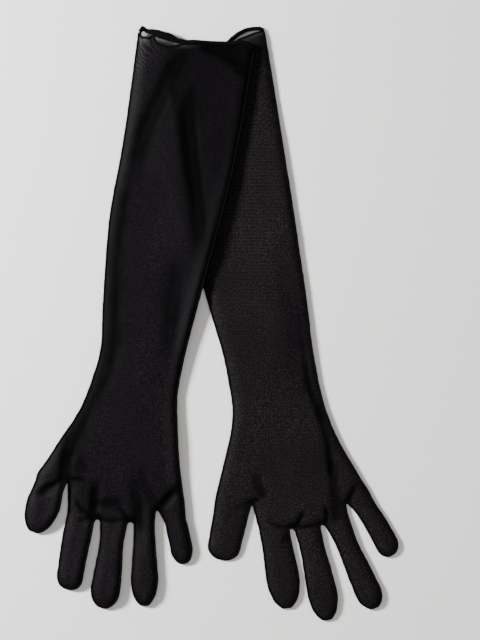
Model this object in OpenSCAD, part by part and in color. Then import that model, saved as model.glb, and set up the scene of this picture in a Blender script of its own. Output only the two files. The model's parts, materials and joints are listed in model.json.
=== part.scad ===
// Pair of long mesh opera gloves, laid flat with the left glove over the right one.
// Millimetres. +Z is up from the table, +Y runs from the fingers to the cuffs.

/* [Cloth] */

// Thickness of one panel of cloth
cloth_t = 0.7; // [0.5:0.1:1]
// Width of the sewn seam round the outline
seam_w = 2; // [1.5:0.1:3]
// Height of the sewn seam
seam_h = 3.1; // [2.2:0.1:3.5]
// Width of the rolled hem at the cuff
hem_w = 2.4; // [1.6:0.1:4]
// Height of each rolled hem
hem_h = 1.4; // [1:0.1:2]

/* [Lie] */

// Height of the upper panel in the middle of a glove
loft_h = 7.4; // [6.4:0.1:10]
// Distance from the seam at which the upper panel is at full height
loft_run = 13; // [10:0.5:20]
// Gap between two panels at a fold line
fold_gap = 0.5; // [0.4:0.1:1]
// Height that the left glove lies on over the right one
cross_h = 9; // [8.8:0.1:11]
// Distance over which the left glove climbs on to the right one
cross_run = 46; // [40:1:70]

/* [Hidden] */

joint_gap = 0.05;
panel_in = seam_w + joint_gap;
brim_in = seam_w + 0.2;
root_rows = 4;
belly_rows = 4;
tip_rows = 5;
tip_last = 76;
limb_cols = 6;
sleeve_step = 5;
sleeve_cols = 14;
hand_rows = 10;
root_cols = 3;

// Lines laid across each sleeve, cuff first: [centre x, centre y, flat width, turn].
left_sleeve_lines = [
    [-12.6, 247.7, 103.7, -9],
    [-27.4, 154, 100.6, -9],
    [-41.7, 86.4, 96.4, -9],
    [-53.8, 16.6, 82.9, -8],
    [-60.5, -26.8, 74, -9],
    [-67.5, -57, 76.7, -9]
];
right_sleeve_lines = [
    [-2.3, 246.5, 101.5, 12],
    [17.2, 136, 98, 8],
    [29.3, 75, 92.7, 7],
    [42.5, 12.6, 84.6, 7],
    [50, -24, 78.4, 7],
    [56.1, -57, 78.1, 7]
];

// Free edges of each hand between the wrist line and the first and last finger.
left_thumb_side = [[-112.2, -68.5], [-119.7, -82.5], [-131.7, -99.9], [-144.2, -119.5]];
left_little_side = [[-29.6, -76], [-28.6, -104], [-27.2, -125], [-24.8, -144]];
right_thumb_side = [[18.8, -74], [18.2, -90], [15, -106], [10, -127]];
right_little_side = [[98.6, -67], [103.3, -82], [111, -100], [123.5, -122]];

// Fingers:
// [left end of the root line, right end, tip, waist width, belly width, sideways bow, tip length].
left_fingers = [
    [[-152.5, -130.2], [-126.2, -137.7], [-156.1, -183.6], 26.7, 30.2, 0.5, 27.6],
    [[-125.6, -164.7], [-101.3, -169.2], [-125.5, -233.8], 25.4, 23.2, -0.9, 11.4],
    [[-97.3, -169.8], [-72.4, -171.2], [-95.1, -250.2], 21.3, 26, 0.5, 17.4],
    [[-67.9, -172.1], [-49.6, -171.8], [-58.8, -248.2], 19.2, 24, 0.5, 23.5],
    [[-47.2, -161.8], [-23.4, -154], [-23.4, -211.1], 19.4, 19.4, 0.7, 14.3]
];
right_fingers = [
    [[4.3, -150.4], [35.9, -157.4], [8.8, -207.6], 30.6, 28.5, 0.2, 11.8],
    [[42.2, -180.9], [68.2, -177.5], [67.2, -250.6], 26.3, 29.1, 0.5, 28.3],
    [[72.7, -178], [95.2, -173.7], [102.7, -260.9], 21.5, 25.9, 0.6, 25.2],
    [[99, -174.7], [119.4, -164.7], [144.7, -250], 18.6, 22.7, -0.3, 16.7],
    [[118.7, -155.9], [136.8, -143.9], [159.8, -203.4], 18.7, 20, 1.3, 11.3]
];

// Left edge of the right glove's sleeve, which the left glove climbs over.
climb_from = [-52, 236];
climb_to = [0, 7];
climb_start = 0.66;

// Sections of a glove record.
LINES = 0;
THUMB_SIDE = 1;
LITTLE_SIDE = 2;
FINGERS = 3;
OVER = 4;
left_glove = [left_sleeve_lines, left_thumb_side, left_little_side, left_fingers, true];
right_glove = [right_sleeve_lines, right_thumb_side, right_little_side, right_fingers, false];

black_mesh = [0.07, 0.065, 0.075];
seam_black = [0.04, 0.04, 0.045];

// ---- Curves ----

function mix(a, b, t) = a + (b - a) * t;
function ease(t) = let(u = max(0, min(1, t))) u * u * (3 - 2 * u);
function flat(lists) = [for (list = lists) for (item = list) item];
function reversed(list) = [for (i = [len(list) - 1:-1:0]) list[i]];

// Smooth curve through a list of points, at t from 0 to 1 along it.
function through(p, t) =
    let(
        n = len(p) - 1,
        k = min(n - 1, floor(t * n)),
        u = t * n - k,
        a = p[max(0, k - 1)],
        b = p[k],
        c = p[k + 1],
        d = p[min(n, k + 2)]
    )
    b + (c - a) * u / 2
      + (2 * a - 5 * b + 4 * c - d) * u * u / 2
      + (3 * b - a - 3 * c + d) * u * u * u / 2;

// Path moved sideways by d, to the left of its own direction when d is positive.
// Its two ends slide along the lines it starts and stops on, whose directions are in cuts.
function beside(path, d, cuts) =
    let(last = len(path) - 1)
    [
        for (i = [0:last])
            let(
                along = path[min(last, i + 1)] - path[max(0, i - 1)],
                side = [-along.y, along.x] / norm(along),
                cut = i == 0 ? cuts[0] : i == last ? cuts[1] : side
            )
            path[i] + cut * d / (cut * side)
    ];

function gap_to_segment(p, a, b) =
    let(t = max(0, min(1, (p - a) * (b - a) / ((b - a) * (b - a)))))
    norm(p - a - t * (b - a));

function gap_to_path(p, path) =
    min([for (i = [1:len(path) - 1]) gap_to_segment(p, path[i - 1], path[i])]);

// ---- Heights ----

// Height of the top of a panel at a distance from the outline.
function loft(d) =
    let(t = max(0, min(1, (d - seam_w) / loft_run)))
    mix(seam_h, loft_h, pow(1 - (1 - t) * (1 - t), 0.7));

// Height that a glove lies on at a point of the table.
function bed(glove, p) =
    let(
        edge = climb_to - climb_from,
        inside = cross([p.x, p.y] - climb_from, -edge) / norm(edge)
    )
    glove[OVER] ? cross_h * ease(inside / cross_run + climb_start) : 0;

// ---- Outlines ----

function line_way(line) = [cos(line[3]), sin(line[3])];
function root_way(finger) = (finger[1] - finger[0]) / norm(finger[1] - finger[0]);

function cuff_way(glove) = line_way(glove[LINES][0]);
function wrist_way(glove) = line_way(glove[LINES][len(glove[LINES]) - 1]);

function line_end(line, side) =
    [line[0], line[1]] + side * line[2] / 2 * line_way(line);

// Both edges of a sleeve from the cuff to the wrist line.
function sleeve_edge(glove, side) =
    let(lines = glove[LINES], n = (len(lines) - 1) * sleeve_step)
    [for (i = [0:n]) line_end(through(lines, i / n), side)];

function wrist_end(glove, side) =
    let(line = glove[LINES][len(glove[LINES]) - 1])
    line_end(line, side) + fold_gap * [sin(line[3]), -cos(line[3])];

// Free edge of a hand, from the wrist line to the outer end of a finger's root line.
function hand_edge(glove, side) =
    let(
        fingers = glove[FINGERS],
        middle = side < 0 ? glove[THUMB_SIDE] : glove[LITTLE_SIDE],
        last = side < 0 ? fingers[0][0] : fingers[len(fingers) - 1][1],
        points = concat([wrist_end(glove, side)], middle, [last])
    )
    [for (i = [0:hand_rows]) through(points, i / hand_rows)];

function sleeve_cuts(glove) = [cuff_way(glove), wrist_way(glove)];
function hand_cuts(glove, side) =
    let(fingers = glove[FINGERS])
    [wrist_way(glove), root_way(side < 0 ? fingers[0] : fingers[len(fingers) - 1])];
function finger_cuts(finger) = [root_way(finger), root_way(finger)];

// Outline of a finger from one end of its root line round the tip to the other.
function finger_edge(finger) =
    let(
        root = (finger[0] + finger[1]) / 2,
        across = root_way(finger),
        out = [across.y, -across.x],
        start = root + fold_gap * out,
        reach = norm(finger[2] - start),
        axis = (finger[2] - start) / reach,
        round_from = 1 - finger[6] / reach,
        widths = [norm(finger[1] - finger[0]), finger[3], mix(finger[3], finger[4], 0.5), finger[4]],
        body = root_rows + belly_rows,
        rows = concat(
            [[0, widths[0]]],
            [for (i = [1:body - 1]) [i / body * round_from, through(widths, i / body)]],
            [for (i = [0:tip_rows]) let(a = i / tip_rows * tip_last)
                [mix(round_from, 1, sin(a)), finger[4] * cos(a)]]
        ),
        side_of = function(t) let(f = mix(0, 1, ease(t * 4)))
            (1 - f) * across + f * [-axis.y, axis.x] * sign(across * [-axis.y, axis.x]),
        spine = function(t) start + reach * t * axis + finger[5] * sin(180 * t) * across
    )
    concat(
        [for (row = rows) spine(row[0]) - row[1] / 2 * side_of(row[0])],
        reversed([for (row = rows) spine(row[0]) + row[1] / 2 * side_of(row[0])])
    );

// Points of the hand between two neighbouring fingers; a deep gap has one more point.
function web(a, b) =
    let(
        from = a[1],
        to = b[0],
        run = to - from,
        top = from.y > to.y ? from : to,
        inward = [-run.y, run.x] / norm(run)
    )
    norm(run) > 6 ? [top + panel_in * inward] : [];

// Lower edge of a hand panel, along the roots of the fingers.
function hand_brim(glove) =
    let(fingers = glove[FINGERS])
    flat([
        for (k = [0:len(fingers) - 1])
            let(
                f = fingers[k],
                across = root_way(f),
                a = f[0] + brim_in * across,
                b = f[1] - brim_in * across
            )
            concat(
                [for (i = [0:root_cols]) mix(a, b, i / root_cols)],
                k < len(fingers) - 1 ? web(f, fingers[k + 1]) : []
            )
    ]);

// Share of the way along a brim, for each of its points.
function brim_shares(brim, i = 1, sums = [0]) =
    i == len(brim)
        ? sums / sums[len(sums) - 1]
        : let(step = brim[i] - brim[i - 1])
          brim_shares(brim, i + 1, concat(sums, [sums[i - 1] + abs(step.x) + 0.3 * abs(step.y)]));

// Grid of points that fills a hand panel from the wrist line to the roots of the fingers.
function hand_grid(glove) =
    let(
        brim = hand_brim(glove),
        shares = brim_shares(brim),
        left = beside(hand_edge(glove, -1), panel_in, hand_cuts(glove, -1)),
        right = beside(hand_edge(glove, 1), -panel_in, hand_cuts(glove, 1))
    )
    [
        for (i = [0:hand_rows])
            let(v = i / hand_rows)
            [
                for (j = [0:len(brim) - 1])
                    let(u = shares[j])
                    mix(left[i], right[i], u)
                        + v * (brim[j] - mix(left[hand_rows], right[hand_rows], u))
            ]
    ];

function sleeve_grid(glove) =
    let(
        left = beside(sleeve_edge(glove, -1), panel_in, sleeve_cuts(glove)),
        right = beside(sleeve_edge(glove, 1), -panel_in, sleeve_cuts(glove))
    )
    [for (i = [0:len(left) - 1]) [for (j = [0:sleeve_cols]) mix(left[i], right[i], j / sleeve_cols)]];

function finger_grid(finger) =
    let(
        edge = beside(finger_edge(finger), panel_in, finger_cuts(finger)),
        n = len(edge) / 2
    )
    [
        for (i = [0:n - 1])
            [for (j = [0:limb_cols]) mix(edge[i], edge[2 * n - 1 - i], j / limb_cols)]
    ];

// Free outline near a hand: its own edges and the gaps between the fingers.
function hand_borders(glove) =
    let(fingers = glove[FINGERS])
    concat(
        [hand_edge(glove, -1), hand_edge(glove, 1)],
        [for (k = [1:len(fingers) - 1]) [fingers[k - 1][1], fingers[k][0]]]
    );

// ---- Solids ----

// Closed solid between two grids of points, each row from left to right.
module shell(top, bottom) {
    rows = len(top);
    cols = len(top[0]);
    under = rows * cols;
    rim = concat(
        [for (j = [0:cols - 1]) j],
        [for (i = [1:rows - 1]) i * cols + cols - 1],
        [for (j = [cols - 2:-1:0]) (rows - 1) * cols + j],
        [for (i = [rows - 2:-1:1]) i * cols]
    );
    cells = [for (i = [0:rows - 2]) for (j = [0:cols - 2]) i * cols + j];
    polyhedron(
        points = concat(flat(top), flat(bottom)),
        faces = concat(
            flat([for (a = cells) [[a, a + 1, a + cols + 1], [a, a + cols + 1, a + cols]]]),
            flat([
                for (a = cells)
                    let(b = a + under) [[b, b + cols + 1, b + 1], [b, b + cols, b + cols + 1]]
            ]),
            flat([
                for (k = [0:len(rim) - 1])
                    let(a = rim[k], b = rim[(k + 1) % len(rim)])
                    [[b, a, a + under], [b, a + under, b + under]]
            ])
        )
    );
}

// Bar of rectangular section along a level path, whose sides are at the two distances in reach
// to the left of it. Its underside is at the heights in lows.
module bar(path, reach, lows, height, cuts) {
    sides = [for (d = reach) beside(path, d, cuts)];
    rows = function(rise) [
        for (i = [0:len(path) - 1])
            [for (side = sides) [side[i].x, side[i].y, lows[i] + rise]]
    ];
    mirrored = function(grid) [for (row = grid) reversed(row)];
    shell(mirrored(rows(height)), mirrored(rows(0)));
}

// Panel over a grid of points; heights are above what the glove lies on.
module panel(glove, grid, tops) {
    raise = function(drop) [
        for (i = [0:len(grid) - 1])
            [
                for (j = [0:len(grid[i]) - 1])
                    let(p = grid[i][j]) [p.x, p.y, bed(glove, p) + tops[i][j] - drop]
            ]
    ];
    color(black_mesh) shell(raise(0), raise(cloth_t));
}

function flat_tops(grid) = [for (row = grid) [for (p = row) cloth_t]];

// Seam on the left-hand side of a path along the outline.
module seam(glove, edge, cuts) {
    lows = [for (p = beside(edge, seam_w / 2, cuts)) bed(glove, p)];
    color(seam_black) bar(edge, [0, seam_w], lows, seam_h, cuts);
}

// ---- Pieces of a glove ----

module sleeve_upper(glove) {
    grid = sleeve_grid(glove);
    last = sleeve_cols;
    panel(glove, grid, [
        for (row = grid)
            [for (p = row) loft(panel_in + min(norm(p - row[0]), norm(p - row[last])))]
    ]);
}

module sleeve_lower(glove) {
    grid = sleeve_grid(glove);
    panel(glove, grid, flat_tops(grid));
}

module sleeve_seams(glove) {
    cuts = sleeve_cuts(glove);
    seam(glove, sleeve_edge(glove, -1), cuts);
    seam(glove, reversed(sleeve_edge(glove, 1)), reversed(cuts));
}

module cuff_hem(glove, upper) {
    row = sleeve_grid(glove)[0];
    last = sleeve_cols;
    way = [-cuff_way(glove).y, cuff_way(glove).x];
    out = (hem_w / 2 + joint_gap) * way;
    lows = [
        for (p = row)
            let(rise = loft(panel_in + min(norm(p - row[0]), norm(p - row[last]))))
            bed(glove, p) + (upper ? rise - cloth_t : 0)
    ];
    color(seam_black) bar([for (p = row) p + out], [-hem_w / 2, hem_w / 2], lows, hem_h, [way, way]);
}

module hand_upper(glove) {
    grid = hand_grid(glove);
    borders = hand_borders(glove);
    panel(glove, grid, [
        for (row = grid) [for (p = row) loft(min([for (path = borders) gap_to_path(p, path)]))]
    ]);
}

module hand_lower(glove) {
    grid = hand_grid(glove);
    panel(glove, grid, flat_tops(grid));
}

module hand_seams(glove) {
    fingers = glove[FINGERS];
    seam(glove, hand_edge(glove, -1), hand_cuts(glove, -1));
    seam(glove, reversed(hand_edge(glove, 1)), reversed(hand_cuts(glove, 1)));
    for (k = [1:len(fingers) - 1]) {
        gap = [fingers[k - 1][1], fingers[k][0]];
        run = gap[1] - gap[0];
        across = [-run.y, run.x] / norm(run);
        if (norm(run) > 6) {
            seam(glove, gap, [across, across]);
        }
    }
}

module finger_upper(glove, k) {
    grid = finger_grid(glove[FINGERS][k]);
    last = limb_cols;
    panel(glove, grid, [
        for (row = grid)
            [for (p = row) loft(panel_in + min(norm(p - row[0]), norm(p - row[last])))]
    ]);
}

module finger_lower(glove, k) {
    grid = finger_grid(glove[FINGERS][k]);
    panel(glove, grid, flat_tops(grid));
}

module finger_seam(glove, k) {
    finger = glove[FINGERS][k];
    seam(glove, finger_edge(finger), finger_cuts(finger));
}

THUMB = 0;
INDEX = 1;
MIDDLE = 2;
RING = 3;
LITTLE = 4;

sleeve_upper(left_glove);  // left_sleeve_upper
sleeve_lower(left_glove);  // left_sleeve_lower
sleeve_seams(left_glove);  // left_sleeve_seams
cuff_hem(left_glove, true);  // left_cuff_hem_upper
cuff_hem(left_glove, false);  // left_cuff_hem_lower
hand_upper(left_glove);  // left_hand_upper
hand_lower(left_glove);  // left_hand_lower
hand_seams(left_glove);  // left_hand_seams
finger_upper(left_glove, THUMB);  // left_thumb_upper
finger_lower(left_glove, THUMB);  // left_thumb_lower
finger_seam(left_glove, THUMB);  // left_thumb_seam
finger_upper(left_glove, INDEX);  // left_index_upper
finger_lower(left_glove, INDEX);  // left_index_lower
finger_seam(left_glove, INDEX);  // left_index_seam
finger_upper(left_glove, MIDDLE);  // left_middle_upper
finger_lower(left_glove, MIDDLE);  // left_middle_lower
finger_seam(left_glove, MIDDLE);  // left_middle_seam
finger_upper(left_glove, RING);  // left_ring_upper
finger_lower(left_glove, RING);  // left_ring_lower
finger_seam(left_glove, RING);  // left_ring_seam
finger_upper(left_glove, LITTLE);  // left_little_upper
finger_lower(left_glove, LITTLE);  // left_little_lower
finger_seam(left_glove, LITTLE);  // left_little_seam
sleeve_upper(right_glove);  // right_sleeve_upper
sleeve_lower(right_glove);  // right_sleeve_lower
sleeve_seams(right_glove);  // right_sleeve_seams
cuff_hem(right_glove, true);  // right_cuff_hem_upper
cuff_hem(right_glove, false);  // right_cuff_hem_lower
hand_upper(right_glove);  // right_hand_upper
hand_lower(right_glove);  // right_hand_lower
hand_seams(right_glove);  // right_hand_seams
finger_upper(right_glove, THUMB);  // right_thumb_upper
finger_lower(right_glove, THUMB);  // right_thumb_lower
finger_seam(right_glove, THUMB);  // right_thumb_seam
finger_upper(right_glove, INDEX);  // right_index_upper
finger_lower(right_glove, INDEX);  // right_index_lower
finger_seam(right_glove, INDEX);  // right_index_seam
finger_upper(right_glove, MIDDLE);  // right_middle_upper
finger_lower(right_glove, MIDDLE);  // right_middle_lower
finger_seam(right_glove, MIDDLE);  // right_middle_seam
finger_upper(right_glove, RING);  // right_ring_upper
finger_lower(right_glove, RING);  // right_ring_lower
finger_seam(right_glove, RING);  // right_ring_seam
finger_upper(right_glove, LITTLE);  // right_little_upper
finger_lower(right_glove, LITTLE);  // right_little_lower
finger_seam(right_glove, LITTLE);  // right_little_seam
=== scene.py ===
"""Looks of a pair of long mesh opera gloves, laid flat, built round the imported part.

Every panel is a thin sheet of mesh. All sheets of a glove share one triangulation of its plan,
so that neighbouring pieces meet exactly, and heights are laid over that plan.
Metres throughout, with +Z up and +Y towards the cuffs.
"""

import json
import math

import bpy
import numpy as np
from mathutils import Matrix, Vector, noise
from mathutils.bvhtree import BVHTree
from mathutils.geometry import delaunay_2d_cdt
from mathutils.kdtree import KDTree


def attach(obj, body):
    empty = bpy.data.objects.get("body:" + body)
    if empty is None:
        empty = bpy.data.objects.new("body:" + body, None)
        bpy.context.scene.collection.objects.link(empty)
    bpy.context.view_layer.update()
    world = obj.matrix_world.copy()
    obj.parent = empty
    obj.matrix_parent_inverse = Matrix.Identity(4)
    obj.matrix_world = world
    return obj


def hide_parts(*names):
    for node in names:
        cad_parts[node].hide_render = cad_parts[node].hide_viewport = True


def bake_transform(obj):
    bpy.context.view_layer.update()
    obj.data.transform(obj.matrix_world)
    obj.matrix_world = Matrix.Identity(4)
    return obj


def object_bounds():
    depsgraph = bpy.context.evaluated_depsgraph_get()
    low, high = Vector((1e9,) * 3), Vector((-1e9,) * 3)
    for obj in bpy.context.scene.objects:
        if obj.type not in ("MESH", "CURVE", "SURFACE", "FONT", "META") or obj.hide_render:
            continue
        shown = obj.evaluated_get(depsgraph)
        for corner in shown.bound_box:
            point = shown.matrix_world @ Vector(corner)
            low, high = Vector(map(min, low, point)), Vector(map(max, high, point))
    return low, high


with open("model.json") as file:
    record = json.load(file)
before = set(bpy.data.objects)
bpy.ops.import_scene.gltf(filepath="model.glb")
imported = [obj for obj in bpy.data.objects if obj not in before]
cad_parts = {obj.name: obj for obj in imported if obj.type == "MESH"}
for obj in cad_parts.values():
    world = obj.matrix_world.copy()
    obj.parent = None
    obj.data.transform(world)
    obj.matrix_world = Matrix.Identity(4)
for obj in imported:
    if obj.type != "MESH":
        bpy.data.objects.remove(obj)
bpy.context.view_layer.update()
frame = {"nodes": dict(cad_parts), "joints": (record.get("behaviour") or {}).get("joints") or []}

MM = 0.001
TINY = 1e-12
GLOVES = ("right", "left")
FINGERS = ("thumb", "index", "middle", "ring", "little")
LAYERS = ("upper", "lower")
UP = Vector((0, 0, 1))

# Plan: gap between its points, decimals that tell them apart, how far the inner ones stay from the
# outline, and how many steps a span of a smooth curve is cut into
CELL = 1.8 * MM
DIGITS = 6
INNER_CLEAR = 0.62 * CELL
SPAN_STEPS = 11
# How near a point lies to a fold line that it is on, the least turn of a cuff corner in degrees, and
# the greatest rise of the normal of a face that looks down
FOLD_NEAR = 0.45 * MM
SHARP_TURN = 50
FACES_DOWN = -0.5
# Triangulation: keep what lies inside the outline, and take points this near, in mm, as one
CDT_INSIDE = 1
CDT_NEAR = 1e-4
# How near the finger roots the outline is rounded, and how often
CROTCH_REACH = 4.5 * MM
CROTCH_STEPS = 7

# Heights of the lower sheet and of the edges above what a glove lies on
LAID = 0.35 * MM
EDGE = 1.1 * MM
EDGE_RUN = 3.5 * MM
# Height of the upper sheet above the edges, how far in it is reached, and the least it may be
PUFF = {"right": 3.2 * MM, "left": 4.2 * MM}
PUFF_RUN = 10 * MM
PUFF_POWER = 0.75
LEAST_PUFF = 0.5 * MM
# How far the edges that face right stand up, how far in that reaches, how far from the cuff it is
# full, the share of it that is left at the cuff, and how many steps of the edge it is averaged over
LIFT = {"right": 1.5 * MM, "left": 4.0 * MM}
LIFT_RUN = 6 * MM
CALM = 120 * MM
CALM_SHARE = 0.5
LIFT_BLUR = 25
# How far the cloth spreads over its seam allowance
SPREAD = 0.8 * MM
SPREAD_RUN = 4 * MM
# Gap between two sheets, how far from the edge of the glove below its seam is cleared, and how often
# the cloth over it is eased
LAYER_GAP = 0.35 * MM
SEAM_REACH = 2.4 * MM
DRAPE_STEPS = 60
# Gap between the points that stand for an edge when distances to it are measured
RIM_STEP = 0.6 * MM

# Smooth unevenness, as (size, wavelength, seed)
EDGE_WAVE = (0.35 * MM, 30 * MM, 0)
BROAD_WAVE = (0.9 * MM, 70 * MM, 2)
MIDDLE_WAVE = (0.35 * MM, 24 * MM, 3)
FINE_WAVE = (0.12 * MM, 8 * MM, 4)
LIFT_WAVE = (0.5, 60 * MM, 5)
DARK_WAVE = (0.5, 12 * MM, 6)
SEAM_WAVE = (0.3 * MM, 5 * MM, 3.7)
HEM_WAVE = (0.3 * MM, 6 * MM, 3)
# How far apart the seeds of the two gloves lie, and how much longer the broad waves are along the arm
SEED_STEP = 7.3
ALONG_ARM = (1, 2)

# Creases: gap between their points, how high their round profile peaks before it is cut flat at 1,
# the shares of the way over which they fade at their end and broad ones at their start, and the
# least width of a broad one
CREASE_STEP = 1.5 * MM
CREASE_FULL = 1.3
FADE_OUT = 0.45
FADE_IN = 0.2
BROAD = 6.5 * MM
# How many widths a crease reaches past its points, with how much to spare, and how much the upper
# sheet sinks in it
CREASE_TAIL = 4
CREASE_SPARE = 1.5
CREASE_SINK = 1.1

# Sewing: how far outside the outline, and at what share of the gap between the sheets, the seam
# lies, its half width at shares of the way and half height, and how much it swells at a stitch
SEAM_OUT = 0.5 * MM
SEAM_DROP = 0.35
SEAM_HALF = ([(0, 0.95 * MM), (1, 0.95 * MM)], 0.6 * MM)
SEAM_SWELL = 0.16
STITCH = 1.9 * MM
# The hems' stitch, half height, swelling, share of their half width that lies outside the cloth,
# and height above the cloth and above what the glove lies on
HEM_STITCH = 2.2 * MM
HEM_THICK = 0.6 * MM
HEM_SWELL = 0.12
HEM_OUT = 0.3
HEM_RISE = 0.2 * MM
HEM_LOWEST = 1.15 * HEM_THICK
BEAD_SIDES = 8
STEPS_PER_STITCH = 4

# How far in from the cuff its edges shape the cloth, and how far each edge lies inside (+) or
# outside (-) the straight cuff line, in millimetres, at shares of the way from its left end
CUFF_REACH = 34 * MM
CUFF_DIP = {
    ("left", "upper"): [
        (0, 0), (0.02, 4.3), (0.095, 4.3), (0.12, 0.8), (0.145, 6.8), (0.19, 9.2), (0.27, 9.4),
        (0.34, 7.6), (0.4, 3.6), (0.46, 2), (0.6, 0.8), (0.79, -1.5), (0.9, -4.5), (0.96, -3.5), (1, 0),
    ],
    ("left", "lower"): [
        (0, 0), (0.013, -4.2), (0.05, -2), (0.11, -1.7), (0.19, 0.2), (0.26, 1),
        (0.33, 2.8), (0.43, 2.6), (0.54, 1), (0.66, 1), (0.8, -2), (1, 0),
    ],
    ("right", "upper"): [
        (0, 0), (0.5, 4), (0.65, 6.5), (0.72, 5), (0.78, 2.8), (0.86, 1.5), (0.93, 0.3), (1, 0),
    ],
    ("right", "lower"): [
        (0, 0), (0.4, 3), (0.65, 4.8), (0.72, 0.3), (0.78, -2.6),
        (0.86, -4.6), (0.93, -4.3), (0.98, -3.1), (1, 0),
    ],
}

# Half the width of each rolled hem, in millimetres, at shares of the way along it
HEM_HALF = {
    ("left", "upper"): [(0, 1), (0.4, 1), (0.5, 1.8), (1, 1.8)],
    ("left", "lower"): [(0, 1.8), (0.11, 2), (0.18, 3.6), (0.28, 3.5), (0.36, 2.2), (1, 1.8)],
    ("right", "upper"): [(0, 0.9), (1, 0.9)],
    ("right", "lower"): [(0, 1.7), (1, 1.7)],
}

# Where the knit shows, in millimetres: (landmark, place from it, half width and length, strength),
# and how sharply it fades round there
KNIT_FALL = 1.5
KNIT = {
    "left": [
        ("index_middle", (18, 37), (7, 11), 0.8),
        ("ring_little", (19, 45), (6, 26), 0.6),
        ("thumb_index", (-20, 27), (10, 16), 0.8),
        ("middle_ring", (13, -18), (5, 26), 0.5),
    ],
    "right": [
        ("wrist", (-20, 160), (30, 90), 1.0),
        ("wrist", (-2, -42), (32, 48), 0.45),
    ],
}

# Painted shade: how much darker the cloth of a glove is made all over, where it lies on the other glove
# and at edges
GLOVE_SHADE = {"left": 0.45, "right": 0.05}
STACKED_SHADE = 0.22
STACKED_HEIGHT = 3 * MM
EDGE_SHADE = 0.35
EDGE_SHADE_RUN = 2 * MM
# How sheer each layer looks at the cuff, how far in that reaches, and how it falls off
SHEER = {"upper": (0.55, 13 * MM, 1.5), "lower": (1, 15 * MM, 0.7)}
# How far the watered look reaches from the cuff's left corner and from the edge
SHIMMER_REACH = 40 * MM
SHIMMER_RUN = 8 * MM

# Creases, in millimetres from a landmark of a glove: (landmark, points, width, depth, darkness of their
# painted shade)
CREASES = {
    "left": [
        ("thumb_index", [(-3, -1), (-9, -5), (-16, -8), (-27, -16)], 3.4, 2.0, 1.0),
        ("thumb_index", [(2, 0), (11, 1), (22, -1)], 2.2, 0.8, 0.8),
        ("thumb_index", [(0, 2), (3, 23), (7, 36)], 5.0, 1.2, 1.0),
        ("thumb_index", [(1, 8), (6, 34), (11, 44), (24, 72), (36, 96), (44, 130)], 7.5, 1.5, 0.8),
        ("thumb_index", [(4, 26), (12, 15), (20, 4)], 7.0, 0.6, 0.5),
        ("index_middle", [(0, 1), (2, 16), (2, 34)], 3.8, 1.6, 1.0),
        ("index_middle", [(-2, 1), (-11, 8), (-17, 20)], 2.0, 0.9, 0.7),
        ("index_middle", [(-2, 0), (-9, -3), (-16, -2)], 1.8, 0.7, 0.6),
        ("index_middle", [(5, 9), (16, 12), (29, 9)], 4.0, 1.0, 0.6),
        ("index_middle", [(2, -2), (15, -4), (30, -2)], 2.0, 0.9, 0.9),
        ("middle_ring", [(0, 2), (-3, 7), (-7, 11)], 1.8, 0.6, 0.7),
        ("middle_ring", [(12, -8), (11, 6), (9, 20), (5, 44)], 5.0, 0.8, 0.6),
        ("ring_little", [(1, 1), (9, 9), (20, 22)], 3.6, 2.0, 1.0),
        ("ring_little", [(-6, 8), (-14, 24), (-15, 40)], 4.5, 0.7, 0.4),
        ("wrist", [(-25, -4), (-20, 50), (-19, 90), (-16, 131), (-9, 175), (0, 215)], 8.0, 1.3, 0.95),
        ("wrist", [(46, 258), (58, 160), (56, 110)], 8.0, 0.9, 0.5),
        ("wrist", [(40, 120), (34, 60), (28, 0)], 8.0, 0.7, 0.35),
        ("cuff", [(-2, -4), (-13, -16), (-25, -42), (-37, -66), (-49, -96), (-56, -130)], 8.5, 1.1, 1.0),
        ("cuff", [(12, -4), (26, -10), (40, -19), (48, -30), (52, -44)], 6.0, 1.0, 0.9),
        ("cuff", [(35, -27), (40, -29), (47, -28)], 1.8, 0.4, 0.8),
        ("cuff", [(-8, -34), (-5, -64), (-3, -100), (2, -140), (6, -200)], 8.0, 0.9, 0.8),
    ],
    "right": [
        ("thumb_index", [(1, 1), (5, 3), (12, 2)], 2.0, 1.1, 1.0),
        ("thumb_index", [(12, 8), (8, 16), (6, 32)], 4.5, 0.9, 0.6),
        ("thumb_index", [(-2, -1), (-10, -5), (-17, -6)], 2.6, 0.5, 0.4),
        ("index_middle", [(0, 1), (4, 7), (8, 15)], 2.2, 1.2, 1.0),
        ("index_middle", [(2, 0), (10, 0), (23, 3)], 1.9, 1.0, 1.0),
        ("index_middle", [(-2, -4), (-8, -10), (-13, -20)], 3.0, 1.1, 0.9),
        ("index_middle", [(-3, 1), (-14, 0), (-26, 6)], 2.0, 0.9, 0.8),
        ("middle_ring", [(0, 1), (1, 8), (-2, 16)], 2.0, 1.2, 1.0),
        ("middle_ring", [(10, 4), (8, 31), (5, 72)], 4.5, 1.0, 0.7),
        ("ring_little", [(0, 0), (4, 8), (8, 18)], 2.4, 1.1, 1.0),
        ("wrist", [(50, -72), (46, -45), (38, -19), (30, 3), (25, 38), (21, 90)], 2.8, 1.0, 0.9),
        ("wrist", [(-44, 20), (-50, -10), (-56, -50)], 8.0, 0.7, 0.4),
        ("wrist", [(24, -10), (18, 60), (2, 150)], 9.0, 0.7, 0.3),
    ],
}


# ---- Plan of a glove, taken from the part ----


def key(point):
    """What tells a point apart from others."""
    return tuple(np.round(point, DIGITS))


def unit(rows):
    """Each row of an array as a direction."""
    return rows / np.maximum(np.linalg.norm(rows, axis=1), TINY)[:, None]


def doubled_areas(points, faces):
    """Twice the signed area of each triangle in plan."""
    a, b, c = (points[faces[:, k]] for k in range(3))
    ab, ac = b - a, c - a
    return ab[:, 0] * ac[:, 1] - ab[:, 1] * ac[:, 0]


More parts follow.
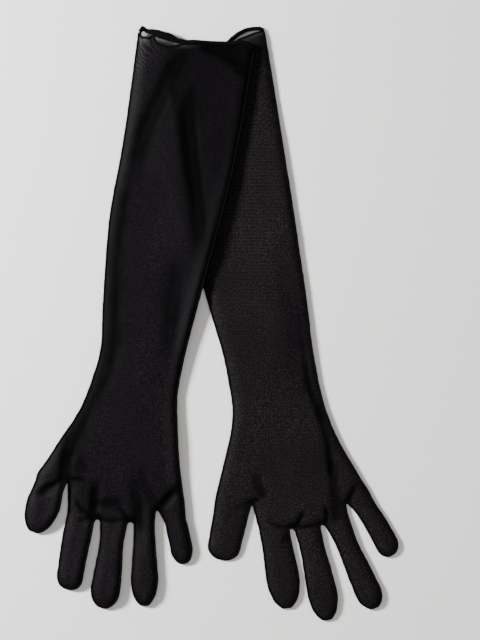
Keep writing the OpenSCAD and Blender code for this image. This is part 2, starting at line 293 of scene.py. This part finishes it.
def underside_outline(node):
    """Outline of a lower panel in plan, anticlockwise, from the open edges of its underside."""
    mesh = frame["nodes"][node].data
    where = {}
    spots = [where.setdefault(key(v.co), len(where)) for v in mesh.vertices]
    ways = set()
    for face in mesh.polygons:
        if face.normal.z < FACES_DOWN:
            ring = [spots[i] for i in face.vertices]
            ways.update(zip(ring, ring[1:] + ring[:1]))
    onward = {b: a for a, b in ways if (b, a) not in ways}
    loop = [next(iter(onward))]
    while onward[loop[-1]] != loop[0]:
        loop.append(onward[loop[-1]])
    return np.array(list(where))[loop, :2]


def fold_line(body):
    """A point on a body's fold line and the direction along it, from left to right, in plan."""
    joint = next(j for j in frame["joints"] if j["child"] == body and j["type"] == "hinge")
    return np.array(joint["pos_m"][:2]), -np.array(joint["axis"][:2])


def fold_ends(loop, body):
    """Left and right end of the stretch of a piece's outline that lies on its fold line."""
    pos, way = fold_line(body)
    off = (loop - pos) @ np.array([-way[1], way[0]])
    along = ((loop - pos) @ way)[abs(off) < FOLD_NEAR]
    return pos + way * along.min(), pos + way * along.max()


def cuff_ends(loop):
    """Left and right end of the cuff line: the two sharp corners nearest to the cuff."""
    before = unit(loop - np.roll(loop, 1, 0))
    after = unit(np.roll(loop, -1, 0) - loop)
    cosine = (before * after).sum(1)
    corners = loop[cosine < math.cos(math.radians(SHARP_TURN))]
    top = corners[np.argsort(-corners[:, 1])[:2]]
    return top[np.argsort(top[:, 0])]


def run_between(loop, a, b):
    """Points of an anticlockwise outline from a to b, which take the place of its nearest ones."""
    i, j = (int(np.argmin(np.linalg.norm(loop - p, axis=1))) for p in (a, b))
    inner = [loop[k % len(loop)] for k in range(i + 1, j if j > i else j + len(loop))]
    return np.array([a, *inner, b])


def evenly(points, gap):
    """Smooth curve through points, cut into equal steps of about gap."""
    p = np.concatenate([[2 * points[0] - points[1]], points, [2 * points[-1] - points[-2]]])
    t = np.linspace(0, 1, SPAN_STEPS, endpoint=False)[:, None]
    spans = [
        b + (c - a) * t / 2 + (2 * a - 5 * b + 4 * c - d) * t**2 / 2 + (3 * b - a - 3 * c + d) * t**3 / 2
        for a, b, c, d in zip(p, p[1:], p[2:], p[3:])
    ]
    dense = np.concatenate([*spans, points[-1:]])
    far = np.concatenate([[0], np.cumsum(np.linalg.norm(np.diff(dense, axis=0), axis=1))])
    stops = np.linspace(0, far[-1], max(1, round(far[-1] / gap)) + 1)
    return np.stack([np.interp(stops, far, dense[:, k]) for k in range(dense.shape[1])], 1)


def inside(points, ring):
    """Which points lie inside a closed outline."""
    a, b = ring, np.roll(ring, -1, 0)
    x, y = points[:, :1], points[:, 1:]
    crosses = (a[:, 1] > y) != (b[:, 1] > y)
    with np.errstate(divide="ignore", invalid="ignore"):
        at = a[:, 0] + (y - a[:, 1]) / (b[:, 1] - a[:, 1]) * (b[:, 0] - a[:, 0])
    return (crosses & (x < at)).sum(1) % 2 == 1


def nearest(points, targets):
    """Which target point is nearest to each point, and how far away it is."""
    tree = KDTree(len(targets))
    for i, p in enumerate(targets):
        tree.insert((p[0], p[1], 0), i)
    tree.balance()
    found = [tree.find((p[0], p[1], 0)) for p in points]
    return np.array([i for _, i, _ in found]), np.array([far for _, _, far in found])


def triangles(ring):
    """Points and anticlockwise triangles that fill a closed outline with an even lattice."""
    low, high = ring.min(0), ring.max(0)
    step = CELL * math.sqrt(3) / 2
    rows = range(math.ceil(low[1] / step), math.floor(high[1] / step) + 1)
    columns = range(math.ceil(low[0] / CELL), math.floor(high[0] / CELL) + 1)
    lattice = np.array([((i + j % 2 / 2) * CELL, j * step) for j in rows for i in columns])
    lattice = lattice[inside(lattice, ring)]
    lattice = lattice[nearest(lattice, ring)[1] > INNER_CLEAR]
    points = np.concatenate([ring, lattice])
    edges = [(i, (i + 1) % len(ring)) for i in range(len(ring))]
    found = delaunay_2d_cdt([Vector(p) / MM for p in points], edges, [], CDT_INSIDE, CDT_NEAR)
    sources = np.array([first for first, *_ in found[3]])
    faces = sources[np.array([f for f in found[2] if len(f) == 3])]
    turn = doubled_areas(points, faces)
    faces[turn < 0] = faces[turn < 0][:, ::-1]
    return points, faces[abs(turn) > TINY]


def straight(ends):
    """A straight line between two ends in steps of the plan."""
    return evenly(np.array(ends), CELL)


def edge_runs(loops, cuff, wrist, roots):
    """A glove's free outline, as (piece, run of points), from the cuff's left end to its right."""
    stops = [("sleeve", cuff[0], wrist[0]), ("hand", wrist[0], roots["thumb"][0])]
    for finger, following in zip(FINGERS, [*FINGERS[1:], None]):
        stops.append((finger, *roots[finger]))
        end = roots[following][0] if following else wrist[1]
        stops.append(("hand", roots[finger][1], end))
    stops.append(("sleeve", wrist[1], cuff[1]))
    return [(piece, evenly(run_between(loops[piece], a, b), CELL)) for piece, a, b in stops]


def rings_of(runs, cuff, wrist, roots):
    """The closed outline of each piece, as runs that go round it."""
    rings = {"sleeve": [runs[0][1], straight(wrist), runs[-1][1], straight(cuff)[::-1]]}
    rings["hand"] = [straight(wrist)[::-1]]
    for piece, run in runs[1:-1]:
        if piece == "hand":
            rings["hand"].append(run)
        else:
            rings["hand"].append(straight(roots[piece]))
            rings[piece] = [run, straight(roots[piece])[::-1]]
    return rings


def plan_of(side):
    """Plan of a glove: its points, each piece's triangles, its free outline and its landmarks."""
    loops = {p: underside_outline(f"{side}_{p}_lower") for p in ("sleeve", "hand", *FINGERS)}
    cuff = cuff_ends(loops["sleeve"])
    wrist = fold_ends(loops["hand"], f"{side}_hand")
    roots = {f: fold_ends(loops[f], f"{side}_{f}") for f in FINGERS}
    runs = edge_runs(loops, cuff, wrist, roots)

    where, pieces = {}, {}
    for piece, parts in rings_of(runs, cuff, wrist, roots).items():
        points, faces = triangles(np.concatenate([part[:-1] for part in parts]))
        index = np.array([where.setdefault(key(p), len(where)) for p in points])
        pieces[piece] = index[faces]

    marks = {"wrist": (wrist[0] + wrist[1]) / 2, "cuff": (cuff[0] + cuff[1]) / 2}
    for a, b in zip(FINGERS, FINGERS[1:]):
        marks[f"{a}_{b}"] = max(roots[a][1], roots[b][0], key=lambda p: p[1])
    plan = {
        "side": side,
        "points": np.array(list(where)),
        "pieces": pieces,
        "faces": np.concatenate(list(pieces.values())),
        "outline": [(piece, [where[key(p)] for p in run]) for piece, run in runs],
        "cuff": [where[key(p)] for p in straight(cuff)],
        "marks": marks,
    }
    round_crotches(plan, np.concatenate(list(roots.values())))
    return plan


def whole_outline(plan):
    """Indices of the points along a glove's free outline, from one end of the cuff to the other."""
    runs = [run for _, run in plan["outline"]]
    return [i for run in runs for i in run[:-1]] + runs[-1][-1:]


def round_crotches(plan, corners):
    """Rounds the outline where two fingers meet, and evens out the points beside it."""
    points = plan["points"]
    line = whole_outline(plan)
    share = np.exp(-((nearest(points, corners)[1] / CROTCH_REACH) ** 2))[:, None]
    inner = np.ones((len(points), 1))
    inner[line + plan["cuff"]] = 0
    for _ in range(CROTCH_STEPS):
        middle = (points[line[:-2]] + points[line[2:]]) / 2
        points[line[1:-1]] += share[line[1:-1]] * (middle - points[line[1:-1]]) / 2
        mean = np.column_stack([neighbour_mean(plan, points[:, k]) for k in (0, 1)])
        points += share * inner * (mean - points) / 2


# ---- Heights of the cloth ----


def ripple(points, wave, seed=0, stretch=(1, 1)):
    """Smooth noise at each point of a plan; wave is its size, wavelength and seed."""
    size, length, own_seed = wave
    x, y = (points / length / stretch).T
    return size * np.array([noise.noise((a, b, seed + own_seed)) for a, b in zip(x, y)])


def crease_share(points, path, width):
    """How far into a crease each point lies, from 0 to 1, fading towards its end.

    A broad crease also fades in from its start.
    """
    path = evenly(np.array(path, float) * MM, CREASE_STEP)
    gaps = np.linalg.norm(points[:, None] - path[None], axis=2)
    along = gaps.argmin(1) / max(1, len(path) - 1)
    fade = np.clip((1 - along) / FADE_OUT, 0, 1)
    if width > BROAD:
        fade *= np.clip(along / FADE_IN, 0, 1)
    return np.minimum(1, CREASE_FULL * np.exp(-((gaps.min(1) / width) ** 2))) * fade


def creases_of(plan):
    """Depth of the creases at each point of a plan, and how dark their painted shade makes the cloth."""
    depth, dark = np.zeros(len(plan["points"])), np.zeros(len(plan["points"]))
    for mark, path, width, drop, shade in CREASES[plan["side"]]:
        local = plan["points"] - plan["marks"][mark]
        reach = CREASE_SPARE * MM * (np.abs(np.array(path)).max() + CREASE_TAIL * width)
        some = np.linalg.norm(local, axis=1) < reach
        share = crease_share(local[some], path, width * MM)
        depth[some] += share * drop * MM
        dark[some] = np.maximum(dark[some], share * shade)
    return depth, dark


def knit_of(plan):
    """How much the rows of knit show at each point of a plan."""
    shown = np.zeros(len(plan["points"]))
    for mark, place, half, strength in KNIT[plan["side"]]:
        away = (plan["points"] - plan["marks"][mark] - np.array(place) * MM) / (np.array(half) * MM)
        shown = np.maximum(shown, strength * np.exp(-((away**2).sum(1) ** KNIT_FALL)))
    return shown


def neighbour_mean(plan, values):
    """Mean of the values at the points joined to each point of a plan."""
    if "links" not in plan:
        faces = plan["faces"]
        links = np.concatenate([faces[:, [0, 1]], faces[:, [1, 2]], faces[:, [2, 0]]])
        plan["links"] = np.unique(np.sort(np.concatenate([links, links[:, ::-1]]), 1), axis=0)
    a, b = plan["links"].T
    total, count = np.zeros(len(values)), np.zeros(len(values))
    for i, j in ((a, b), (b, a)):
        np.add.at(total, i, values[j])
        np.add.at(count, i, 1)
    return total / count


def cover_of(below):
    """The upper sheet of the glove below, to cast rays at."""
    faces = [list(map(int, f)) for f in below["faces"]]
    return BVHTree.FromPolygons([Vector(p) for p in below["upper"]], faces)


def bed_under(plan, below):
    """Height that a glove's cloth lies on: the table, and the glove below where there is one."""
    points = plan["points"]
    if below is None:
        return np.zeros(len(points))
    solid = BVHTree.FromObject(
        frame["nodes"][f"{plan['side']}_sleeve_lower"], bpy.context.evaluated_depsgraph_get()
    )
    cad = np.array([solid.find_nearest(Vector((x, y, 0)))[0].z for x, y in points])
    cover = cover_of(below)
    hits = [cover.ray_cast(Vector((x, y, 1)), -UP)[0] for x, y in points]
    rest = np.array([hit.z + LAYER_GAP if hit else 0 for hit in hits])
    rim = np.concatenate([below["upper"][run] for _, run in below["outline"]])
    which, far = nearest(points, rim)
    over_seam = np.maximum(rest, rim[which, 2] + SEAM_HALF[1] + 2 * LAYER_GAP)
    rest = np.where(far < SEAM_REACH, over_seam, rest)
    # The part's own rise over the glove below, as high as the cloth there, then eased between
    # the edges of that glove and the table.
    top = below["upper"][:, 2].max() + LAYER_GAP
    bed = np.maximum(cad * top / cad.max(), rest)
    for _ in range(DRAPE_STEPS):
        bed = np.maximum((bed + neighbour_mean(plan, bed)) / 2, rest)
    return bed


def measure(plan):
    """Adds to a plan how far its points lie inside the edge and the cuff, and which way edges face."""
    points = plan["points"]
    rim = np.concatenate([evenly(points[run], RIM_STEP) for _, run in plan["outline"]])
    along = unit(np.gradient(rim, axis=0))
    which, plan["inward"] = nearest(points, rim)
    rightward = np.convolve(np.clip(along[:, 1], 0, 1), np.ones(LIFT_BLUR) / LIFT_BLUR, "same")
    plan["rightward"] = rightward[which]
    plan["away"] = np.column_stack([along[:, 1], -along[:, 0]])[which]

    cuff = points[plan["cuff"]]
    across = cuff[-1] - cuff[0]
    plan["outward"] = np.array([-across[1], across[0]]) / np.linalg.norm(across)
    plan["back"] = -(points - cuff[0]) @ plan["outward"]
    plan["share"] = np.clip((points - cuff[0]) @ across / (across @ across), 0, 1)


def heights_of(plan, depth, seed):
    """Heights of the upper and the lower sheet above what a glove lies on."""
    side, points, inward = plan["side"], plan["points"], plan["inward"]
    lift = LIFT[side] * plan["rightward"] * (1 + ripple(points, LIFT_WAVE, seed))
    lift *= np.exp(-((inward / LIFT_RUN) ** 2)) * np.clip(plan["back"] / CALM, CALM_SHARE, 1)
    edge = EDGE + ripple(points, EDGE_WAVE, seed)
    rise = (1 - (1 - np.clip(inward / PUFF_RUN, 0, 1)) ** 2) ** PUFF_POWER
    uneven = ripple(points, BROAD_WAVE, seed, ALONG_ARM)
    uneven += ripple(points, MIDDLE_WAVE, seed, ALONG_ARM)
    uneven += ripple(points, FINE_WAVE, seed)
    puff = np.maximum(PUFF[side] + uneven - CREASE_SINK * depth, LEAST_PUFF)
    lower = LAID + (edge - LAID) * np.exp(-inward / EDGE_RUN) + lift
    upper = np.maximum(edge + lift + rise * puff, lower + LAYER_GAP * (inward > 0))
    return upper, lower


def tint(plan, dark, bed, seed):
    """Adds to a plan its painted shade, and how sheer, shimmering and plainly knitted its cloth looks.
    """
    points, inward, back = plan["points"], plan["inward"], plan["back"]
    # Painted shade: the creases' shade, made a little uneven, plus a darker tone for each glove, more
    # over the other glove and near edges
    stacked = np.clip(bed / STACKED_HEIGHT, 0, 1)
    shade_base = GLOVE_SHADE[plan["side"]] + STACKED_SHADE * stacked + EDGE_SHADE * np.exp(-inward / EDGE_SHADE_RUN)
    plan["deep"] = np.clip(dark * (1 + ripple(points, DARK_WAVE, seed)) + shade_base, 0, 1)
    plan["sheer"] = {
        layer: share * np.clip(1 - back / reach, 0, 1) ** power
        for layer, (share, reach, power) in SHEER.items()
    }
    corner = np.linalg.norm(points - points[plan["cuff"][0]], axis=1)
    plan["shimmer"] = np.clip(1 - corner / SHIMMER_REACH, 0, 1) * np.exp(-inward / SHIMMER_RUN)
    plan["knit"] = knit_of(plan)


def lay(plan, below=None):
    """Adds to a plan the places of its upper and lower sheet, and how the cloth looks there."""
    measure(plan)
    seed = GLOVES.index(plan["side"]) * SEED_STEP
    depth, dark = creases_of(plan)
    bed = bed_under(plan, below)
    spread = SPREAD * np.exp(-plan["inward"] / SPREAD_RUN)
    plan["cut"] = plan["points"] + spread[:, None] * plan["away"]
    near = np.clip(1 - plan["back"] / CUFF_REACH, 0, 1) ** 2
    for name, height in zip(LAYERS, heights_of(plan, depth, seed)):
        dip = MM * np.interp(plan["share"], *np.array(CUFF_DIP[plan["side"], name], float).T)
        moved = plan["cut"] - (dip * near)[:, None] * plan["outward"]
        plan[name] = np.column_stack([moved, bed + height])
    tint(plan, dark, bed, seed)
    return plan


# ---- Materials ----

# Colours of the mesh: dark and light of its knit and grain, its clouds, its watered look, and its
# painted shade
MESH_DARK = (0.0018, 0.0012, 0.0017, 1)
MESH_LIGHT = (0.0260, 0.0222, 0.0252, 1)
MESH_CLOUD = (0.0036, 0.0028, 0.0034, 1)
MESH_WATERED = (0.13, 0.122, 0.128, 1)
MESH_SHADED = (0.0005, 0.0003, 0.0006, 1)
# Colours of the thread: dark and light of its fuzz, and its painted highlight
THREAD_DARK = (0.0005, 0.0004, 0.0005, 1)
THREAD_LIGHT = (0.0028, 0.0024, 0.0028, 1)
THREAD_HIGHLIGHT = (0.035, 0.033, 0.035, 1)
FLOOR_PALE = (0.78, 0.765, 0.75, 1)
FLOOR_DIM = tuple(0.97 * c for c in FLOOR_PALE[:3]) + (1,)

# Stripes, as (direction, scale, distortion, sharpness)
KNIT_ROWS = ("Y", 104, 0.7, 3)
KNIT_DOTS = ("X", 118, 0.8, 1)
WATERED = ("DIAGONAL", 100, 9, 4)
# Noise, as (scale, detail, sharpness)
GRAIN = (950, 1, 4)
CLOUDS = (22, 3, 1.8)
FUZZ = (900, 2, 1)
# Patches where the thread's painted highlight shows
HIGHLIGHT_PATCHES = (30, 2, 3)
FLOOR_GRAIN = (60, 2, 1)
CROWN_SHARPNESS = 3
# How strongly the grain and the knit show
GRAIN_SHOWS = 3.1
KNIT_SHOWS = 0.34
# How opaque the mesh is, and how much less where it is sheer
OPAQUE = 0.98
SEEN_THROUGH = 0.34
# How strongly and how deep the grain dents the mesh
BUMP_STRENGTH = 0.35
BUMP_DEPTH = 0.5 * MM
# Plain numbers of each surface
MESH_SURFACE = {
    "Roughness": 0.6,
    "Specular IOR Level": 0.03,
    "Sheen Weight": 0.006,
    "Sheen Roughness": 0.4,
}
THREAD_SURFACE = {"Roughness": 0.8, "Specular IOR Level": 0.02}
FLOOR_SURFACE = {"Roughness": 0.9}


class Shader:
    """A new node material, and short ways to add nodes to it."""

    def __init__(self, name, numbers):
        self.material = bpy.data.materials.new(name)
        self.material.use_nodes = True
        self.nodes = self.material.node_tree.nodes
        self.surface = self.nodes["Principled BSDF"].inputs
        self.place = self.nodes.new("ShaderNodeTexCoord").outputs["Object"]
        for setting, number in numbers.items():
            self.surface[setting].default_value = number

    def feed(self, socket, value):
        """Gives an input a number, a colour or the output of another node."""
        if isinstance(value, bpy.types.NodeSocket):
            self.material.node_tree.links.new(value, socket)
        else:
            socket.default_value = value

    def texture(self, kind, **numbers):
        """A node of a procedural texture over the object."""
        made = self.nodes.new(kind)
        self.feed(made.inputs["Vector"], self.place)
        for setting, number in numbers.items():
            self.feed(made.inputs[setting], number)
        return made

    def speckle(self, scale, detail, sharpness):
        """Noise from 0 to 1."""
        made = self.texture("ShaderNodeTexNoise", Scale=scale, Detail=detail)
        return self.sharpened(made.outputs["Fac"], sharpness)

    def stripes(self, direction, scale, distortion, sharpness):
        """Wavy bands from 0 to 1 across a direction."""
        made = self.texture("ShaderNodeTexWave", Scale=scale, Distortion=distortion, Detail=1)
        made.bands_direction = direction
        return self.sharpened(made.outputs["Fac"], sharpness)

    def value(self, name):
        """A value that is kept at the points of a piece."""
        made = self.nodes.new("ShaderNodeAttribute")
        made.attribute_name = name
        return made.outputs["Fac"]

    def calculate(self, operation, a, b):
        """What a Math node makes of two outputs or numbers."""
        made = self.nodes.new("ShaderNodeMath")
        made.operation = operation
        self.feed(made.inputs[0], a)
        self.feed(made.inputs[1], b)
        return made.outputs[0]

    def product(self, a, b):
        """One output or number times another."""
        return self.calculate("MULTIPLY", a, b)

    def sharpened(self, value, power):
        """An output from 0 to 1 raised to a power, so that only its peaks stay high."""
        return self.calculate("POWER", value, power)

    def mix(self, factor, a, b):
        """A colour that goes from a to b as factor goes from 0 to 1."""
        made = self.nodes.new("ShaderNodeMix")
        made.data_type = "RGBA"
        self.feed(made.inputs["Factor"], factor)
        self.feed(made.inputs[6], a)
        self.feed(made.inputs[7], b)
        return made.outputs[2]

    def bump(self, height, strength, distance):
        """Raises the surface's shading by a height."""
        made = self.nodes.new("ShaderNodeBump")
        self.feed(made.inputs["Strength"], strength)
        self.feed(made.inputs["Distance"], distance)
        self.feed(made.inputs["Height"], height)
        self.feed(self.surface["Normal"], made.outputs["Normal"])


def knitted(shader, grain):
    """Colour of the bare mesh: grain all over, and rows of dots where the knit shows."""
    dots = shader.product(shader.stripes(*KNIT_ROWS), shader.stripes(*KNIT_DOTS))
    shown = shader.product(dots, shader.product(shader.value("knit"), KNIT_SHOWS))
    light = shader.calculate("ADD", shader.product(grain, GRAIN_SHOWS), shown)
    return shader.mix(light, MESH_DARK, MESH_LIGHT)


def mesh_cloth():
    """Sheer black power mesh: fine grain, faint rows of knit, and painted shade, darkest in its creases.
    """
    shader = Shader("black_mesh", MESH_SURFACE)
    grain = shader.speckle(*GRAIN)
    cloudy = shader.mix(shader.speckle(*CLOUDS), knitted(shader, grain), MESH_CLOUD)
    shimmer = shader.product(shader.stripes(*WATERED), shader.value("shimmer"))
    watered = shader.mix(shimmer, cloudy, MESH_WATERED)
    # Painted shade darkens the colour towards near black
    colour = shader.mix(shader.value("deep"), watered, MESH_SHADED)
    shader.feed(shader.surface["Base Color"], colour)
    open_share = shader.product(shader.value("sheer"), SEEN_THROUGH)
    shader.feed(shader.surface["Alpha"], shader.calculate("SUBTRACT", OPAQUE, open_share))
    shader.bump(grain, BUMP_STRENGTH, BUMP_DEPTH)
    return shader.material


def thread():
    """Matt black overlock thread, with a painted highlight on the crown of a stitch, in patches."""
    shader = Shader("black_thread", THREAD_SURFACE)
    fuzzy = shader.mix(shader.speckle(*FUZZ), THREAD_DARK, THREAD_LIGHT)
    crown = shader.sharpened(shader.value("crown"), CROWN_SHARPNESS)
    # Painted highlight on the upper side of each stitch, only in patches
    highlighted = shader.product(crown, shader.speckle(*HIGHLIGHT_PATCHES))
    shader.feed(shader.surface["Base Color"], shader.mix(highlighted, fuzzy, THREAD_HIGHLIGHT))
    return shader.material


def pale_floor():
    """Matt off-white floor, very faintly mottled."""
    shader = Shader("floor", FLOOR_SURFACE)
    mottled = shader.mix(shader.speckle(*FLOOR_GRAIN), FLOOR_DIM, FLOOR_PALE)
    shader.feed(shader.surface["Base Color"], mottled)
    return shader.material


# ---- Pieces ----


def add_to_scene(name, data):
    """An object made from its data and put in the scene."""
    made = bpy.data.objects.new(name, data)
    bpy.context.scene.collection.objects.link(made)
    return made


def new_piece(name, points, faces, material):
    """An object in the scene with a smooth mesh of one material."""
    mesh = bpy.data.meshes.new(name)
    mesh.from_pydata([tuple(p) for p in points], [], [tuple(map(int, f)) for f in faces])
    mesh.materials.append(material)
    mesh.polygons.foreach_set("use_smooth", [True] * len(mesh.polygons))
    mesh.update()
    return add_to_scene(name, mesh)


def set_values(piece, name, values):
    """Keeps a value at each point of a piece, for its material."""
    attribute = piece.data.attributes.new(name, "FLOAT", "POINT")
    attribute.data.foreach_set("value", np.asarray(values, np.float32))


def follow(piece, side, part):
    """Makes a sleeve piece ride on its body; any other piece only has its place baked into its points.
    """
    body = f"{side}_{part}"
    if part == "sleeve":
        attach(piece, body)
        return
    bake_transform(piece)


def normals_of(points, faces):
    """Unit normal at each point of a whole sheet, so that its pieces shade as one."""
    a, b, c = (points[faces[:, k]] for k in range(3))
    face = np.cross(b - a, c - a)
    total = np.zeros_like(points)
    for k in range(3):
        np.add.at(total, faces[:, k], face)
    return unit(total)


def make_sheets(plan, layer, material):
    """The panels of one layer of a glove, one piece for each node."""
    side, points = plan["side"], plan[layer]
    turn = 1 if layer == "upper" else -1
    normals = turn * normals_of(points, plan["faces"])
    for part, faces in plan["pieces"].items():
        used, local = np.unique(faces, return_inverse=True)
        local = local.reshape(faces.shape)[:, ::turn]
        piece = new_piece(f"{side}_{part}_{layer}_cloth", points[used], local, material)
        piece.data.normals_split_custom_set_from_vertices(normals[used])
        # The painted shade of the cloth, kept at its points
        set_values(piece, "deep", plan["deep"][used])
        set_values(piece, "sheer", plan["sheer"][layer][used])
        set_values(piece, "shimmer", plan["shimmer"][used])
        set_values(piece, "knit", plan["knit"][used])
        follow(piece, side, part)
        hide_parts(f"{side}_{part}_{layer}")


def bead(path, half, pitch, depth):
    """Points, faces and crown values of a sewn bead: an oval section that swells at each stitch.

    half is its half width, as (share of the way, half width) pairs, and its half height.
    """
    steps = evenly(path, pitch / STEPS_PER_STITCH)
    wide = np.interp(np.linspace(0, 1, len(steps)), *np.array(half[0]).T)
    along = unit(np.gradient(steps, axis=0))
    across = unit(np.cross(along, UP))
    up = np.cross(across, along)
    beat = np.cos(np.arange(len(steps)) * 2 * math.pi / STEPS_PER_STITCH)
    swell = (1 + depth * beat)[:, None, None]
    turns = np.arange(BEAD_SIDES) / BEAD_SIDES * 2 * math.pi
    sideways = across[:, None] * np.cos(turns)[None, :, None] * wide[:, None, None]
    upwards = up[:, None] * np.sin(turns)[None, :, None] * half[1]
    rings = steps[:, None] + swell * (sideways + upwards)

    index = np.arange(len(steps) * BEAD_SIDES).reshape(-1, BEAD_SIDES)
    onward = np.roll(index, -1, axis=1)
    walls = np.stack([index[:-1], onward[:-1], onward[1:], index[1:]], axis=2)
    faces = walls.reshape(-1, 4).tolist() + [index[0, ::-1].tolist(), index[-1].tolist()]
    crown = np.clip(beat, 0, 1)[:, None] * np.clip(np.sin(turns), 0, 1)
    return rings.reshape(-1, 3), faces, crown.ravel()


def new_beads(name, beads, material):
    """One piece made of several beads."""
    points, faces, crown, start = [], [], [], 0
    for some, rings, values in beads:
        points.append(some)
        crown.append(values)
        faces += [[start + i for i in ring] for ring in rings]
        start += len(some)
    piece = new_piece(name, np.concatenate(points), faces, material)
    set_values(piece, "crown", np.concatenate(crown))
    return piece


def outside(path, distance):
    """A path moved level and outwards from an anticlockwise outline."""
    along = unit(np.gradient(path[:, :2], axis=0))
    away = np.column_stack([along[:, 1], -along[:, 0]])
    moved = path.copy()
    moved[:, :2] += away * np.reshape(distance, (-1, 1))
    return moved


def make_seams(plan, material):
    """The overlocked seam round a glove, one piece for each part that its outline runs along."""
    side, run = plan["side"], whole_outline(plan)
    line = outside(plan["upper"][run], SEAM_OUT)
    line = outside(line, ripple(line[:, :2], SEAM_WAVE))
    line[:, 2] -= SEAM_DROP * (line[:, 2] - plan["lower"][run][:, 2])
    stretches, start = {}, 0
    for part, run in plan["outline"]:
        stretch = line[start : start + len(run)]
        stretches.setdefault(part, []).append(bead(stretch, SEAM_HALF, STITCH, SEAM_SWELL))
        start += len(run) - 1
    for part, beads in stretches.items():
        name = f"{side}_{part}_seam" + ("s" if part in ("sleeve", "hand") else "")
        piece = new_beads(f"{name}_thread", beads, material)
        follow(piece, side, part)
        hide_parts(name)


def make_hem(plan, layer, material):
    """The rolled hem along one edge of the cuff."""
    side = plan["side"]
    half = np.array(HEM_HALF[side, layer]) * (1, MM)
    path = plan[layer][plan["cuff"]]
    wide = np.interp(np.linspace(0, 1, len(path)), *half.T)
    path[:, :2] += HEM_OUT * wide[:, None] * plan["outward"]
    path[:, 2] += HEM_RISE + ripple(path[:, :2], HEM_WAVE)
    path[:, 2] = np.maximum(path[:, 2], HEM_LOWEST)
    name = f"{side}_cuff_hem_{layer}"
    roll = bead(path, (half, HEM_THICK), HEM_STITCH, HEM_SWELL)
    piece = new_beads(f"{name}_roll", [roll], material)
    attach(piece, f"{side}_sleeve")
    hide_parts(name)


# ---- Stage ----

FLOOR_SIZE = 6
CENTRE = Vector((0.0255, 0.0035, 0))
# Each lamp's name, place, size and power
LAMPS = (
    ("key", (-1.42, 0.49, 0.80), 0.35, 118),
    ("fill", (0.9, -0.6, 1.8), 2.0, 8),
)
SKY = (1, 0.985, 0.97, 1)
SKY_STRENGTH = 0.5
# How high the camera stands, and how long a stretch of the table it takes in
EYE_HEIGHT = 1.5
VIEW_LENGTH = 0.5632
SENSOR = 36
CLIP_END = 20


def make_floor():
    """Pale floor at the height of the table."""
    low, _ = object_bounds()
    bpy.ops.mesh.primitive_plane_add(size=FLOOR_SIZE, location=(0, 0, min(0, low.z)))
    floor = bpy.context.object
    floor.name = "floor"
    floor.data.materials.append(pale_floor())


def make_light():
    """A soft key from the upper left, a weak fill and a pale sky."""
    for name, place, size, power in LAMPS:
        light = bpy.data.lights.new(name, "AREA")
        light.size = size
        light.energy = power
        lamp = add_to_scene(name, light)
        lamp.location = place
        lamp.rotation_euler = (CENTRE - lamp.location).to_track_quat("-Z", "Y").to_euler()
    world = bpy.data.worlds.new("studio")
    world.use_nodes = True
    background = world.node_tree.nodes["Background"].inputs
    background["Color"].default_value = SKY
    background["Strength"].default_value = SKY_STRENGTH
    bpy.context.scene.world = world


def make_camera():
    """A camera straight above."""
    camera = bpy.data.cameras.new("camera")
    camera.sensor_width = SENSOR
    camera.lens = SENSOR * EYE_HEIGHT / VIEW_LENGTH
    camera.clip_end = CLIP_END
    eye = add_to_scene("camera", camera)
    eye.location = CENTRE + UP * EYE_HEIGHT
    bpy.context.scene.camera = eye


cloth, stitching = mesh_cloth(), thread()
right = lay(plan_of("right"))
left = lay(plan_of("left"), right)
for glove in (right, left):
    for layer in LAYERS:
        make_sheets(glove, layer, cloth)
    make_seams(glove, stitching)
    for layer in LAYERS:
        make_hem(glove, layer, stitching)
make_floor()
make_light()
make_camera()
